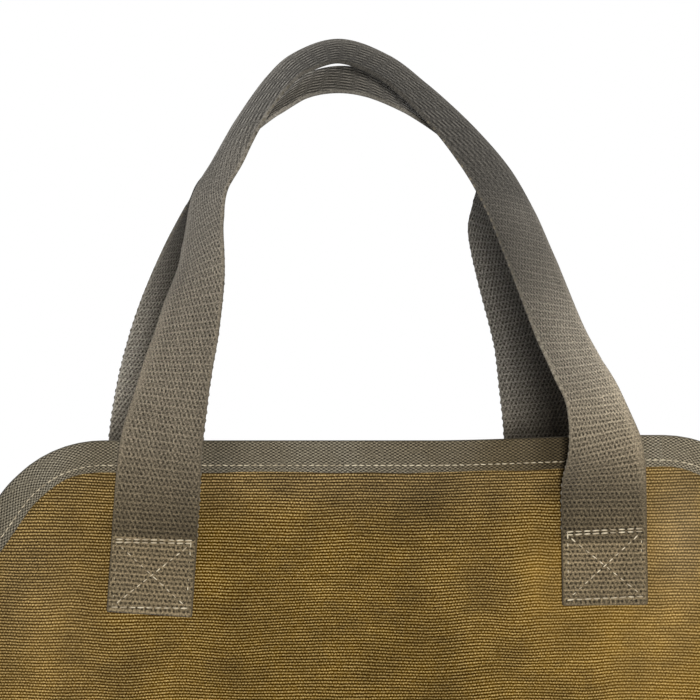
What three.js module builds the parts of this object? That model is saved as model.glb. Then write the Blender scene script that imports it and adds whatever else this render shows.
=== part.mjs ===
// A canvas log carrier, hanging by its two webbing handles.
// One sheet of canvas runs from the front top edge, round the bottom, to the back top edge.
// Its four corners are cut off and rounded, and a folded tape binds the whole edge.
// Each handle is a strap sewn to one face by two folded ends, and the front one arches over the back one.
// Millimetres. +X runs along the top edges, +Y from front to back, +Z up.
// The origin is at the crown of the back handle, where a hand holds both handles.
import * as THREE from "three";

// The canvas as it is cut. The slope of a corner is counted from the top edge.
const panelWidth = 457;
const panelLength = 1016;
const canvasThickness = 1.2;
const topStraight = 250;
const cornerRadius = 54;
const cornerSlope = THREE.MathUtils.degToRad(55);

// The canvas as it hangs. The back edge lies a little lower than the front one and further to the left.
const frontEdgeHeight = -169;
const panelCentre = 20.4;
const topGap = 140;
const bottomRadius = 73;
const backDrop = 9;
const backShift = -21;

// The swell of each face starts below the sewn top, and the folds come in over a short stretch.
const bowHeight = 6;
const bowStart = 110;
const foldEase = 80;

// The right-hand strap lifts the front edge from one place across to another, down to a depth.
const rightPull = 2.4;
const rightPullFrom = 20;
const rightPullTo = 115;
const rightPullReach = 280;

// Soft folds of the canvas: places and sizes on the flat sheet, from its middle and its front top edge
const softFolds = [
  { across: -165, along: 205, breadth: 55, length: 120, height: 4 },
  { across: 20, along: 260, breadth: 90, length: 110, height: -3 },
  { across: 180, along: 230, breadth: 50, length: 130, height: 3.5 },
  { across: -150, along: 800, breadth: 60, length: 120, height: 3 },
  { across: 40, along: 770, breadth: 80, length: 110, height: -3.5 },
  { across: 175, along: 820, breadth: 55, length: 110, height: 4 },
];

// The binding tape: its wall, how far it reaches in from the edge, and the bevel of its nose
const tapeThickness = 0.9;
const tapeReach = 13.4;
const tapeNose = 0.7;

// The handles. A strap's end is folded under itself, and the two layers are sewn on as a patch.
const strapWidth = 38;
const strapThickness = 2;
const patchHeight = 35;
const seatGap = 0.3;
const overPatch = [0.35, 0.75, 1.35];
const foldSteps = 6;
const strapSteps = 3;

// Columns: x, y, z of the strap's middle, turn of its width out of the front plane in degrees, and cup.
// A turn of 0 faces front, and 90 lays the width along Y.
// The cup is how far the strap's middle stands proud of its edges.
const frontArch = [
  { x: -78, y: -77.5, z: -169, turn: 12, cup: 0 },
  { x: -74.7, y: -73.5, z: -151, turn: 25, cup: 0 },
  { x: -71.5, y: -68.5, z: -134.5, turn: 32, cup: 0 },
  { x: -68.2, y: -62, z: -119.5, turn: 38, cup: 0.5 },
  { x: -65.1, y: -54, z: -101.5, turn: 45, cup: 1 },
  { x: -63, y: -46.5, z: -88, turn: 54, cup: 1 },
  { x: -62.2, y: -38.5, z: -73.5, turn: 62, cup: 1 },
  { x: -59.6, y: -30, z: -56.5, turn: 67, cup: 1.5 },
  { x: -51.5, y: -21, z: -39.7, turn: 68, cup: 2 },
  { x: -41, y: -13, z: -20, turn: 69, cup: 1 },
  { x: -27.2, y: -6.5, z: -0.5, turn: 69, cup: 0 },
  { x: -17.6, y: -4, z: 7.7, turn: 68, cup: 0 },
  { x: 0, y: -3, z: 13.5, turn: 67.5, cup: 0 },
  { x: 19.8, y: -4.5, z: 6.8, turn: 67.5, cup: 0 },
  { x: 36, y: -9, z: -5.7, turn: 67, cup: 0 },
  { x: 55.3, y: -18, z: -25.6, turn: 63, cup: 0.5 },
  { x: 69.3, y: -29.5, z: -45, turn: 58, cup: 1 },
  { x: 79, y: -41, z: -64.4, turn: 55, cup: 1 },
  { x: 87.4, y: -53, z: -86.3, turn: 53, cup: 0.5 },
  { x: 100, y: -70, z: -121, turn: 52, cup: 0 },
  { x: 106.3, y: -75.5, z: -134.5, turn: 51, cup: 0 },
  { x: 113.8, y: -81, z: -150, turn: 46, cup: 0 },
  { x: 117.7, y: -83.5, z: -168, turn: 29, cup: 0 },
];
const backArch = [
  { x: -97.3, y: 75.5, z: -174, turn: 2, cup: 0 },
  { x: -92.4, y: 71, z: -143.5, turn: 18, cup: 0 },
  { x: -87.2, y: 62, z: -118.5, turn: 36, cup: 0 },
  { x: -81.7, y: 54.5, z: -98.5, turn: 48, cup: 0.5 },
  { x: -75.3, y: 47, z: -79, turn: 60, cup: 1 },
  { x: -65.6, y: 37.5, z: -55, turn: 73, cup: 1 },
  { x: -60.5, y: 32, z: -44, turn: 79, cup: 1 },
  { x: -50.6, y: 24.5, z: -31, turn: 94, cup: 0.5 },
  { x: -38, y: 16.5, z: -18, turn: 100, cup: 0 },
  { x: -26.2, y: 9, z: -8.7, turn: 106.5, cup: 0 },
  { x: -13.5, y: 3, z: -1.8, turn: 111.5, cup: 0 },
  { x: 0, y: 0, z: 0.4, turn: 114, cup: 0 },
  { x: 13.4, y: 0.5, z: -1.4, turn: 113, cup: 0 },
  { x: 30.2, y: 5.5, z: -8.6, turn: 108, cup: 0 },
  { x: 47.6, y: 14, z: -20.4, turn: 102, cup: 0 },
  { x: 59.5, y: 21.5, z: -31.6, turn: 99, cup: 0 },
  { x: 69, y: 29, z: -43.3, turn: 95, cup: 0 },
  { x: 73.3, y: 33, z: -51, turn: 87, cup: 0 },
  { x: 76, y: 37.5, z: -60, turn: 70, cup: 0 },
  { x: 78.2, y: 42, z: -69.5, turn: 53, cup: 0 },
  { x: 84.7, y: 51, z: -88.5, turn: 38, cup: 0 },
  { x: 96, y: 64, z: -123.5, turn: 21, cup: 0 },
  { x: 99.4, y: 70, z: -143.5, turn: 11, cup: 0 },
  { x: 102.6, y: 75.5, z: -174, turn: 2, cup: 0 },
];

// The sewn ends on each face, left and right.
// Columns: the folded end's place from the middle of the canvas, its distance below the top edge,
// and the strap's slant towards +X in degrees.
const frontFeet = [
  { across: -104, below: 77.5, slant: 3.8 },
  { across: 98.9, below: 76.5, slant: -0.7 },
];
const backFeet = [
  { across: -102.5, below: 77.5, slant: 3.8 },
  { across: 101, below: 76.5, slant: -0.7 },
];

// Sizes that follow from the driving dimensions
const halfTop = topStraight / 2;
const halfWidth = panelWidth / 2;
const foldRadius = (strapThickness + seatGap) / 2;
const hang = hangingLegs();

// The two faces are straight lines tangent to the round bottom, leaning apart from the top gap.
function hangingLegs() {
  let lean = 0;
  let leg = panelLength / 2;
  const rounds = 8;
  for (let round = 0; round < rounds; round++) {
    leg = (panelLength - bottomRadius * (Math.PI + 2 * lean)) / 2;
    lean = Math.asin((bottomRadius * Math.cos(lean) - topGap / 2) / leg);
  }
  const frontLeg = leg + backDrop / 2;
  const backLeg = leg - backDrop / 2;
  const arc = bottomRadius * (Math.PI + 2 * lean);
  const bottomHeight = frontEdgeHeight - bottomRadius * Math.sin(lean) - frontLeg * Math.cos(lean);
  return { lean, frontLeg, backLeg, arc, bottomHeight };
}

// A point of the hanging profile and its outward normal, at a distance from the front top edge.
function profileAt(along) {
  const start = Math.PI - hang.lean;
  const inArc = THREE.MathUtils.clamp(along - hang.frontLeg, 0, hang.arc);
  const angle = start + inArc / bottomRadius;
  const normal = new THREE.Vector3(0, Math.cos(angle), Math.sin(angle));
  const point = normal.clone().multiplyScalar(bottomRadius);
  point.z += hang.bottomHeight;
  const onFront = Math.min(along - hang.frontLeg, 0);
  const onBack = Math.max(along - hang.frontLeg - hang.arc, 0);
  point.y -= Math.sin(hang.lean) * (onFront + onBack);
  point.z += Math.cos(hang.lean) * (onBack - onFront);
  return { point, normal };
}

// The swell of one face between the sewn top and the round bottom.
function bowAt(along) {
  const fromEdge = Math.min(along, panelLength - along);
  const share = (fromEdge - bowStart) / (hang.backLeg - bowStart);
  if (share <= 0 || share >= 1) return 0;
  return bowHeight * Math.sin(Math.PI * share) ** 2;
}

// Soft folds below the sewn top, which lies flat under the straps.
function foldsAt(across, along) {
  const fromEdge = Math.min(along, panelLength - along);
  const free = THREE.MathUtils.smoothstep(fromEdge, bowStart, bowStart + foldEase);
  let height = 0;
  for (const fold of softFolds) {
    const sideways = (across - fold.across) / fold.breadth;
    const lengthways = (along - fold.along) / fold.length;
    height += fold.height * Math.exp(-sideways * sideways - lengthways * lengthways);
  }
  return height * free;
}

// The right-hand strap carries the front edge a little higher than the left-hand one.
function pullAt(across, along) {
  const sideways = THREE.MathUtils.smoothstep(across, rightPullFrom, rightPullTo);
  return rightPull * sideways * (1 - THREE.MathUtils.smoothstep(along, 0, rightPullReach));
}

// The middle of the canvas wall, from places on the flat sheet.
function midSurface(across, along) {
  const { point, normal } = profileAt(along - pullAt(across, along));
  const sheer = THREE.MathUtils.smoothstep(along, panelLength / 4, (panelLength * 3) / 4);
  point.x = panelCentre + across + backShift * sheer;
  return point.addScaledVector(normal, bowAt(along) + foldsAt(across, along));
}

// Directions on the canvas at a place of the flat sheet: across it, towards the front edge, and outwards.
function directionsAt(across, along) {
  const reach = 1;
  const sideways = midSurface(across + reach, along).sub(midSurface(across - reach, along)).normalize();
  const upwards = midSurface(across, along - reach).sub(midSurface(across, along + reach)).normalize();
  const outwards = new THREE.Vector3().crossVectors(sideways, upwards).normalize();
  return { sideways, upwards, outwards };
}

function onPanel(across, along, height) {
  return midSurface(across, along).addScaledVector(directionsAt(across, along).outwards, height);
}

// One cut corner from the top edge to the side: an arc, a straight slope and a second arc.
function cornerOutline() {
  const arcSteps = 5;
  const outline = [];
  for (let step = 0; step <= arcSteps; step++) {
    const angle = (cornerSlope * step) / arcSteps;
    outline.push({
      half: halfTop + cornerRadius * Math.sin(angle),
      down: cornerRadius * (1 - Math.cos(angle)),
    });
  }
  const arcEnd = outline[arcSteps];
  const lowHalf = halfWidth - cornerRadius * (1 - Math.sin(cornerSlope));
  const lowDown = arcEnd.down + (lowHalf - arcEnd.half) * Math.tan(cornerSlope);
  const slopeSteps = 4;
  for (let step = 1; step < slopeSteps; step++) {
    outline.push({
      half: THREE.MathUtils.lerp(arcEnd.half, lowHalf, step / slopeSteps),
      down: THREE.MathUtils.lerp(arcEnd.down, lowDown, step / slopeSteps),
    });
  }
  for (let step = 0; step <= arcSteps; step++) {
    const angle = THREE.MathUtils.lerp(cornerSlope, Math.PI / 2, step / arcSteps);
    outline.push({
      half: lowHalf + cornerRadius * (Math.sin(angle) - Math.sin(cornerSlope)),
      down: lowDown + cornerRadius * (Math.cos(cornerSlope) - Math.cos(angle)),
    });
  }
  return outline;
}

// The rows of the canvas from the front top edge to the back one: half width, and distance along the sheet.
function panelRows() {
  const corner = cornerOutline();
  const cornerEnd = corner[corner.length - 1].down;
  const legSteps = 9;
  const bottomSteps = 14;
  const rows = corner.map(({ half, down }) => ({ half, along: down }));
  for (let step = 1; step <= legSteps; step++) {
    rows.push({ half: halfWidth, along: THREE.MathUtils.lerp(cornerEnd, hang.frontLeg, step / legSteps) });
  }
  for (let step = 1; step <= bottomSteps; step++) {
    rows.push({ half: halfWidth, along: hang.frontLeg + (hang.arc * step) / bottomSteps });
  }
  const backStart = hang.frontLeg + hang.arc;
  const backEnd = panelLength - cornerEnd;
  for (let step = 1; step < legSteps; step++) {
    rows.push({ half: halfWidth, along: THREE.MathUtils.lerp(backStart, backEnd, step / legSteps) });
  }
  for (const { half, down } of corner.toReversed()) {
    rows.push({ half, along: panelLength - down });
  }
  return rows;
}

// A closed solid through rings of equal length. An open run of rings is capped as a strip at both ends.
function sweptSolid(rings, joined) {
  const count = rings[0].length;
  const positions = rings.flat().flatMap((point) => point.toArray());
  const index = [];
  const last = joined ? rings.length : rings.length - 1;
  const at = (ring, corner) => (ring % rings.length) * count + (corner % count);
  for (let ring = 0; ring < last; ring++) {
    for (let corner = 0; corner < count; corner++) {
      index.push(at(ring, corner), at(ring + 1, corner), at(ring + 1, corner + 1));
      index.push(at(ring, corner), at(ring + 1, corner + 1), at(ring, corner + 1));
    }
  }
  if (!joined) {
    const end = rings.length - 1;
    for (let corner = 0; corner < count / 2 - 1; corner++) {
      const across = count - 1 - corner;
      index.push(at(0, corner), at(0, corner + 1), at(0, across - 1));
      index.push(at(0, corner), at(0, across - 1), at(0, across));
      index.push(at(end, corner), at(end, across - 1), at(end, corner + 1));
      index.push(at(end, corner), at(end, across), at(end, across - 1));
    }
  }
  const geometry = new THREE.BufferGeometry();
  geometry.setAttribute("position", new THREE.Float32BufferAttribute(positions, 3));
  geometry.setIndex(index);
  geometry.computeVertexNormals();
  return geometry;
}

function canvasPanel() {
  const columns = 16;
  const rings = panelRows().map(({ half, along }) => {
    const outer = [];
    const inner = [];
    for (let column = 0; column <= columns; column++) {
      const across = half * ((2 * column) / columns - 1);
      outer.push(onPanel(across, along, canvasThickness / 2));
      inner.unshift(onPanel(across, along, -canvasThickness / 2));
    }
    return [...outer, ...inner];
  });
  return sweptSolid(rings, false);
}

// The whole edge of the flat sheet, once round, with the direction inwards at each place.
function panelEdge() {
  const rows = panelRows();
  const topSteps = 12;
  const edge = [];
  for (let step = 1; step < topSteps; step++) {
    edge.push(new THREE.Vector2(THREE.MathUtils.lerp(-halfTop, halfTop, step / topSteps), 0));
  }
  edge.push(...rows.map(({ half, along }) => new THREE.Vector2(half, along)));
  for (let step = 1; step < topSteps; step++) {
    edge.push(new THREE.Vector2(THREE.MathUtils.lerp(halfTop, -halfTop, step / topSteps), panelLength));
  }
  edge.push(...rows.toReversed().map(({ half, along }) => new THREE.Vector2(-half, along)));
  return edge.map((place, number) => {
    const before = edge.at(number - 1);
    const after = edge[(number + 1) % edge.length];
    const heading = after.clone().sub(before).normalize();
    return { place, inwards: new THREE.Vector2(-heading.y, heading.x) };
  });
}

// A tape folded over the edge: two arms on the faces and a blunt nose outside the cut edge.
function edgeBinding() {
  const inside = canvasThickness / 2 + seatGap;
  const outside = inside + tapeThickness;
  const nose = -seatGap - tapeThickness;
  const section = [
    [tapeReach, outside],
    [nose + tapeNose, outside],
    [nose, outside - tapeNose],
    [nose, tapeNose - outside],
    [nose + tapeNose, -outside],
    [tapeReach, -outside],
    [tapeReach, -inside],
    [-seatGap, -inside],
    [-seatGap, inside],
    [tapeReach, inside],
  ];
  const rings = panelEdge().map(({ place, inwards }) =>
    section.map(([reach, height]) =>
      onPanel(place.x + inwards.x * reach, place.y + inwards.y * reach, height),
    ),
  );
  return sweptSolid(rings, true);
}

// One sewn end of a strap: its seat on the canvas, the way it runs up, and the way its width points inwards.
function strapFoot(foot, onBack, inwardsSign) {
  const along = onBack ? panelLength - foot.below : foot.below;
  const { upwards, outwards } = directionsAt(foot.across, along);
  const rising = onBack ? upwards.negate() : upwards;
  const level = new THREE.Vector3().crossVectors(rising, outwards).multiplyScalar(onBack ? -1 : 1);
  const slant = THREE.MathUtils.degToRad(foot.slant);
  const run = rising.clone().multiplyScalar(Math.cos(slant)).addScaledVector(level, Math.sin(slant));
  const wide = level.clone().multiplyScalar(Math.cos(slant)).addScaledVector(rising, -Math.sin(slant));
  return { seat: midSurface(foot.across, along), run, wide: wide.multiplyScalar(inwardsSign), outwards };
}

// Stations of a sewn end, from the raw end under the strap, round the fold, to the strap above the patch.
function footStations(foot) {
  const lowLayer = canvasThickness / 2 + seatGap + strapThickness / 2;
  const foldHeight = lowLayer + foldRadius;
  const placeAt = (up, height) => ({
    centre: foot.seat.clone().addScaledVector(foot.run, up).addScaledVector(foot.outwards, height),
    wide: foot.wide,
    cup: 0,
  });
  const underSteps = 2;
  const stations = [];
  for (let step = 0; step < underSteps; step++) {
    stations.push(placeAt(THREE.MathUtils.lerp(patchHeight, foldRadius, step / underSteps), lowLayer));
  }
  for (let step = 0; step <= foldSteps; step++) {
    const angle = (Math.PI * step) / foldSteps;
    stations.push(
      placeAt(foldRadius * (1 - Math.sin(angle)), foldHeight - foldRadius * Math.cos(angle)),
    );
  }
  const [onPatch, ...leading] = overPatch.map((share) =>
    placeAt(patchHeight * share, foldHeight + foldRadius),
  );
  return { stations: [...stations, onPatch], leading };
}

// A smooth run of stations through the rows of an arch, with its width turned as each row says.
function archStations(leading, arch, trailing, edgeSide) {
  const rows = [...leading, ...arch, ...trailing];
  const places = new THREE.CatmullRomCurve3(
    rows.map((row) => row.centre ?? new THREE.Vector3(row.x, row.y, row.z)),
  );
  const shapes = new THREE.CatmullRomCurve3(
    rows.map((row) => new THREE.Vector3(row.turn ?? 0, row.cup, 0)),
    false,
    "catmullrom",
  );
  const depth = new THREE.Vector3(0, 1, 0);
  const total = (rows.length - 1) * strapSteps;
  const stations = [];
  for (let step = 0; step <= total; step++) {
    const share = step / total;
    const heading = places.getTangent(share);
    const shape = shapes.getPoint(share);
    const turn = THREE.MathUtils.degToRad(shape.x);
    const inwards = new THREE.Vector3().crossVectors(depth, heading).normalize();
    const backwards = new THREE.Vector3().crossVectors(heading, inwards).normalize();
    const wide = inwards.multiplyScalar(Math.cos(turn));
    wide.addScaledVector(backwards, edgeSide * Math.sin(turn));
    stations.push({ centre: places.getPoint(share), wide, cup: shape.y });
  }
  return stations;
}

// A whole strap from sewn end to sewn end. The edge side is -1 where the inner edge comes to the front.
function handle(feet, arch, onBack) {
  const edgeSide = onBack ? 1 : -1;
  const left = footStations(strapFoot(feet[0], onBack, 1));
  const right = footStations(strapFoot(feet[1], onBack, -1));
  const stations = [
    ...left.stations,
    ...archStations(left.leading, arch, right.leading.toReversed(), edgeSide),
    ...right.stations.toReversed(),
  ];
  const face = strapThickness / 2;
  const rings = stations.map((station, number) => {
    const before = stations[Math.max(number - 1, 0)].centre;
    const after = stations[Math.min(number + 1, stations.length - 1)].centre;
    const heading = after.clone().sub(before).normalize();
    const wide = station.wide.clone().addScaledVector(heading, -heading.dot(station.wide)).normalize();
    const outwards = new THREE.Vector3().crossVectors(heading, wide).multiplyScalar(edgeSide);
    const corner = (share, height) =>
      station.centre
        .clone()
        .addScaledVector(wide, (share * strapWidth) / 2)
        .addScaledVector(outwards, height + station.cup * (1 - share * share));
    return [
      corner(-1, face),
      corner(0, face),
      corner(1, face),
      corner(1, -face),
      corner(0, -face),
      corner(-1, -face),
    ];
  });
  if (!onBack) {
    rings.reverse();
  }
  return sweptSolid(rings, false);
}

const canvasCloth = new THREE.MeshStandardMaterial({ color: 0x7a5f2a, roughness: 0.85, metalness: 0 });
const bindingTape = new THREE.MeshStandardMaterial({ color: 0x5f5546, roughness: 0.9, metalness: 0 });
const cottonWebbing = new THREE.MeshStandardMaterial({ color: 0x696255, roughness: 0.9, metalness: 0 });

const pieces = [
  { name: "canvas_panel", geometry: canvasPanel(), material: canvasCloth },
  { name: "edge_binding", geometry: edgeBinding(), material: bindingTape },
  { name: "front_handle", geometry: handle(frontFeet, frontArch, false), material: cottonWebbing },
  { name: "back_handle", geometry: handle(backFeet, backArch, true), material: cottonWebbing },
];

const logCarrier = new THREE.Group();
for (const { name, geometry, material } of pieces) {
  const mesh = new THREE.Mesh(geometry, material);
  mesh.name = name;
  logCarrier.add(mesh);
}

export default logCarrier;
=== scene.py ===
import math
from functools import partial

import bpy
import numpy as np
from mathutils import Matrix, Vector


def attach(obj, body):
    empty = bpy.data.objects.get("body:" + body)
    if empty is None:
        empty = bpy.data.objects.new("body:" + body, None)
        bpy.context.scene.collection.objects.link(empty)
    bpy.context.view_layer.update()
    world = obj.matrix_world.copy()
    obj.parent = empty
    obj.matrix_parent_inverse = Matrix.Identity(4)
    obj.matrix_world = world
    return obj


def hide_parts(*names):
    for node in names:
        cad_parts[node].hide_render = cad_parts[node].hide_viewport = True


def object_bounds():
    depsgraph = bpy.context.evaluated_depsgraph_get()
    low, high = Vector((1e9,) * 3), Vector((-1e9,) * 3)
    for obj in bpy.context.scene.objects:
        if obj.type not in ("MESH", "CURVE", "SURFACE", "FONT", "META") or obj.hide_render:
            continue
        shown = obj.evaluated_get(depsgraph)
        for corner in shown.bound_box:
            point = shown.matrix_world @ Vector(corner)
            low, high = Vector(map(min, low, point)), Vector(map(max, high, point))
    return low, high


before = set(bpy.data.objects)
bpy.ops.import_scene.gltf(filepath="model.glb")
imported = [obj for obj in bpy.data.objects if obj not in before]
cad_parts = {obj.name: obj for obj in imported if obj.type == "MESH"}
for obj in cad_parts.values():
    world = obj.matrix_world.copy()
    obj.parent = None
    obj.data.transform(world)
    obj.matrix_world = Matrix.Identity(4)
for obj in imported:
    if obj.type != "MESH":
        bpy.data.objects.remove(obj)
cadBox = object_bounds()
mm = 0.001  # sizes below are millimetres, and a mesh is made in metres
mapName = "weaveMap"  # the cloth's own map: millimetres across and along it
join = np.concatenate
print("frame loaded:", sorted(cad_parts))


# Small helpers

def smoothStep(value, low, high):
    share = np.clip((value - low) / (high - low), 0, 1)
    return share * share * (3 - 2 * share)


def unit(vectors):
    return vectors / np.linalg.norm(vectors, axis=-1, keepdims=True)


def runLengths(points):  # the way travelled to each point of a run
    return join([[0], np.cumsum(np.linalg.norm(np.diff(points, axis=0), axis=1))])


def softMark(across, along, middle, down, breadth, length):  # 1 at its middle, fading all round
    return np.exp(-((across - middle) / breadth) ** 2 - ((along - down) / length) ** 2)


def linear(hexColour):  # sRGB hex to the linear colour that a shader wants
    parts = [int(hexColour[i:i + 2], 16) / 255 for i in (1, 3, 5)]
    return [p / 12.92 if p <= 0.04045 else ((p + 0.055) / 1.055) ** 2.4 for p in parts] + [1]


# Sets a node's inputs: to a value, or with a link from a socket or from a node's first live output
def feed(node, inputs):  # by name or number, or a list in order
    for socket, value in inputs.items() if isinstance(inputs, dict) else enumerate(inputs):
        if isinstance(value, bpy.types.Node):
            value = next(output for output in value.outputs if output.enabled)
        if isinstance(value, bpy.types.NodeSocket):
            node.id_data.links.new(value, node.inputs[socket])
        else:
            node.inputs[socket].default_value = value


# One node with its settings and inputs; a short kind is a shader node, with its operation after a point
def add(tree, kind, inputs=(), **settings):
    kind, _, operation = kind.partition(".")
    node = tree.nodes.new(kind if "Node" in kind else "ShaderNode" + kind)
    if operation:
        node.operation = operation
    for name, value in settings.items():
        setattr(node, name, value)
    feed(node, inputs)
    return node


def newGroup(name, kind, sockets):  # sockets: way, kind of value, names
    tree = bpy.data.node_groups.new(name, kind)
    for way, value, socketNames in sockets:
        for socketName in socketNames:
            tree.interface.new_socket(socketName, in_out=way, socket_type="NodeSocket" + value)
    return tree


def newMaterial(name):
    material = bpy.data.materials.new(name)
    material.use_nodes = True
    return material, material.node_tree.nodes["Principled BSDF"]


def linkedObject(name, data):
    piece = bpy.data.objects.new(name, data)
    bpy.context.scene.collection.objects.link(piece)
    return piece


# A closed piece through rings of equal length, with its map; the ends of an open run are capped as strips
def sweptPiece(name, rings, chart, joined=False):
    count, sides = rings.shape[:2]
    ring, side = np.meshgrid(np.arange(count if joined else count - 1), np.arange(sides), indexing="ij")
    nextRing = (ring + 1) % count
    nextSide = (side + 1) % sides
    corners = [(ring, side), (ring, nextSide), (nextRing, nextSide), (nextRing, side)]
    faces = np.stack([r * sides + s for r, s in corners], -1).reshape(-1, 4)
    mapCorners = [(ring, side), (ring, side + 1), (ring + 1, side + 1), (ring + 1, side)]
    places = np.stack([chart[r, s] for r, s in mapCorners], 2).reshape(-1, 4, 2)
    if not joined:
        near = np.arange(sides // 2 - 1)
        far = sides - 1 - near
        last = (count - 1) * sides
        startCap = np.stack([near, far, far - 1, near + 1], -1)
        endCap = np.stack([near, near + 1, far - 1, far], -1)
        faces = join([faces, startCap, endCap + last])
        places = join([places, chart[0][startCap], chart[count - 1][endCap]])
    points = rings.reshape(-1, 3) * mm
    a, b, c, d = (points[faces[:, k]] for k in range(4))
    volume = (np.cross(b - a, c - a) * a).sum() + (np.cross(c - a, d - a) * a).sum()
    if volume < 0:  # turned so that the faces point outwards
        faces = faces[:, ::-1]
        places = places[:, ::-1]
    mesh = bpy.data.meshes.new(name)
    mesh.from_pydata(points.tolist(), [], faces.tolist())
    mesh.uv_layers.new(name=mapName).data.foreach_set("uv", places.astype(np.float32).ravel())
    mesh.shade_smooth()
    return linkedObject(name, mesh)


# The waxed canvas: one sheet with cut corners, hung in a sling
canvas = {
    "width": 457, "length": 1016, "thickness": 1.2,
    "topStraight": 250, "cornerRadius": 54, "cornerSlope": math.radians(55),
    "frontEdge": -169.6, "centre": 20.4, "topGap": 140, "bottomRadius": 73,
    "backDrop": 9, "backShift": -21,
    "bowHeight": 6, "bowStart": 110, "foldEase": 80,
    "pull": 2.4, "pullFrom": 20, "pullTo": 115, "pullReach": 280,
    "columns": 128, "arcSteps": 9, "slopeSteps": 24, "legSteps": 54, "bottomSteps": 40,
    "ripplesFrom": (12, 34),  # the taped edge lies flat, and ripples come in below it
    "patchEase": (1, 13),  # and between these distances from a sewn patch
    "ribDrift": 0.6, "ridgeLightAndShade": 0.07,  # shift of the ribs, and gain of tone as painted light on ridges and painted shade in hollows, for each millimetre of a ripple
}
softFolds = [  # across, along, breadth, length, height
    (-165, 205, 55, 120, 4),
    (20, 260, 90, 110, -3),
    (180, 230, 50, 130, 3.5),
    (-150, 800, 60, 120, 3),
    (40, 770, 80, 110, -3.5),
    (175, 820, 55, 110, 4),
]
ripples = [  # across, along, lean of the ridge in degrees, half length, half breadth, height
    (-138, 78, 14, 34, 12, 1.8),
    (-118, 108, -8, 34, 10, -1.6),
    (-92, 116, 14, 34, 11, 1.8),
    (-62, 108, -6, 40, 13, -1.4),
    (-24, 88, 12, 46, 16, 1.2),
    (22, 92, -10, 44, 14, -1.4),
    (52, 104, -24, 40, 11, 1.8),
    (70, 60, -6, 24, 8, 2.2),
    (56, 70, -10, 26, 8, -1.2),
    (92, 112, 6, 34, 10, -1.6),
    (128, 96, 12, 40, 12, 1.6),
    (-150, 130, 20, 40, 12, -1.6),
    (10, 150, 70, 60, 15, 1.4),
    (-60, 900, 10, 60, 14, 1.5),
    (52, 880, -14, 56, 13, -1.5),
    (132, 910, 8, 50, 12, 1.4),
    (-130, 905, -12, 50, 12, -1.4),
]

# The webbing straps. Feet: place across the canvas, distance below the top edge, slant in degrees
strap = {
    "width": 38, "thickness": 2, "patchHeight": 35, "seatGap": 0.3,
    "leadAt": (0.75, 1.35),  # its free run leaves a patch through these shares of the patch's height
    "foldSteps": 9, "layerSteps": 34, "rowSteps": 40, "spacing": 0.9,
    "faceColumns": 36, "edgeCrowding": 0.93, "edgeRound": 0.9, "edgeLeast": 0.15, "curlFrom": 0.2,
}
frontFeet = [(-104, 75.7, 3.8), (98.9, 73.3, -0.7)]
backFeet = [(-102.5, 77.5, 3.8), (101, 76.5, -0.7)]
frontArch = [  # x, y, z of the strap's middle, turn of its width in degrees, cup, curl of the outer edge
    (-78, -77.5, -169, 12, 0, 0.2),
    (-74.7, -73.5, -151, 25, 0, 0.4),
    (-71.5, -68.5, -134.5, 32, 0, 0.6),
    (-68.2, -62, -119.5, 38, 0.5, 0.7),
    (-65.1, -54, -101.5, 45, 1, 0.7),
    (-63.3, -46.5, -88, 54, 1, 0.5),
    (-62, -38.5, -73.5, 60.5, 1, 0.3),
    (-59.2, -30, -56.5, 64.5, 1.5, 0),
    (-51.3, -21, -39.7, 67, 2, 0),
    (-41, -13, -20, 69, 1, 0),
    (-27.2, -6.5, -0.5, 69, 0, 0),
    (-17.6, -4, 7.7, 68, 0, 0),
    (0, -3, 13.5, 67.5, 0, 0),
    (19.8, -4.5, 6.8, 67.5, 0, 0),
    (36, -9, -5.7, 67, 0, 0),
    (55.3, -18, -25.6, 63, 0.5, 0),
    (69.4, -29.5, -45, 57.5, 1, 0),
    (79.2, -41, -64.4, 54.5, 1, 0),
    (87.6, -53, -86.3, 52.5, 0.5, 0.1),
    (100.2, -70, -121, 51.5, 0, 0.2),
    (106.4, -75.5, -134.5, 50.5, 0, 0.2),
    (113.9, -81, -150, 45.5, 0, 0.2),
    (118, -83.5, -168, 29, 0, 0.1),
]
backArch = [  # the same columns
    (-97.3, 75.5, -174, 2, 0, 0),
    (-92.4, 71, -143.5, 18, 0, 0),
    (-87.2, 62, -118.5, 36, 0, 0),
    (-81.7, 54.5, -98.5, 48, 0.5, 0),
    (-75.3, 47, -79, 60, 1, 0),
    (-65.6, 37.5, -55, 73, 1, 0),
    (-60.5, 32, -44, 79, 1, 0),
    (-50.6, 24.5, -31, 94, 0.5, 0),
    (-38, 16.5, -18, 100, 0, 0),
    (-26.2, 9, -8.7, 106.5, 0, 0),
    (-13.5, 3, -1.8, 111.5, 0, 0),
    (0, 0, 0.4, 114, 0, 0),
    (13.4, 0.5, -1.4, 113, 0, 0),
    (30.2, 5.5, -8.6, 108, 0, 0),
    (47.6, 14, -20.4, 102, 0, 0),
    (59.5, 21.5, -31.6, 99, 0, 0),
    (69, 29, -43.3, 95, 0, 0),
    (73.3, 33, -51, 87, 0, 0),
    (75.7, 37.5, -60, 69, 0, 0),
    (77.6, 42, -69.5, 52, 0, 0),
    (84.3, 51, -88.5, 37.5, 0, 0),
    (96, 64, -123.5, 21, 0, 0),
    (99.4, 70, -143.5, 11, 0, 0),
    (102.6, 75.5, -174, 2, 0, 0),
]
foldRadius = (strap["thickness"] + strap["seatGap"]) / 2
# the middles of a strap's two layers on a patch, from the middle of the canvas
lowLayer = canvas["thickness"] / 2 + strap["seatGap"] + strap["thickness"] / 2
topLayer = lowLayer + 2 * foldRadius


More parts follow.
